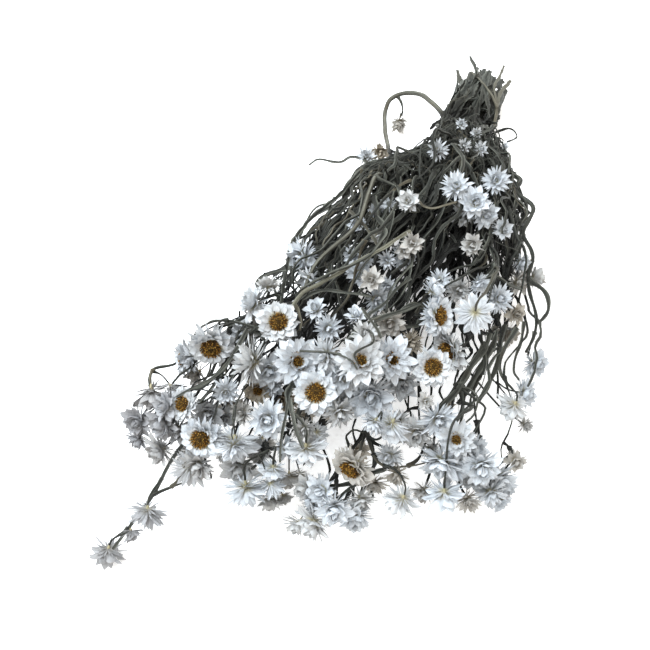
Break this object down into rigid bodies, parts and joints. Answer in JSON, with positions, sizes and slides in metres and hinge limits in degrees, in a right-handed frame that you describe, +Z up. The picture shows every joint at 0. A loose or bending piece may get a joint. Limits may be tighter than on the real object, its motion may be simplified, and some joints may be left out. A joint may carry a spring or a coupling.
{
  "type": "dried winged everlasting bunch",
  "caption": "Dried bunch of winged everlasting lying on its side: winged stems gathered at a neck, branching into papery white daisy heads.",
  "frame": {"origin": "centre of the bounding box's underside, on the surface the bunch lies on", "axes": "+Y along the bunch from the heads to the cut ends, +X across it, +Z up from the surface"},
  "size_m": [0.2114, 0.5152, 0.1109],
  "materials": {
    "stem": "dry, fibrous, matt",
    "bract": "papery, finely ribbed, matt",
    "disc": "dry florets, matt"
  },
  "bodies": {
    "root": {"spray_lower_left": "bract", "spray_left": "bract", "spray_upper_left": "bract", "spray_big_loop": "bract", "spray_centre_left": "bract", "spray_centre": "bract", "spray_tangle_left": "bract", "spray_crown": "bract", "spray_centre_right": "bract", "spray_right_crown": "bract", "spray_right_edge": "bract", "spray_right_fan": "bract", "spray_lower_centre": "bract", "spray_lower_front": "bract", "spray_lower_right": "bract", "spray_right_low": "bract", "spray_back_centre": "bract", "spray_back_right": "bract"}
  },
  "joints": []
}
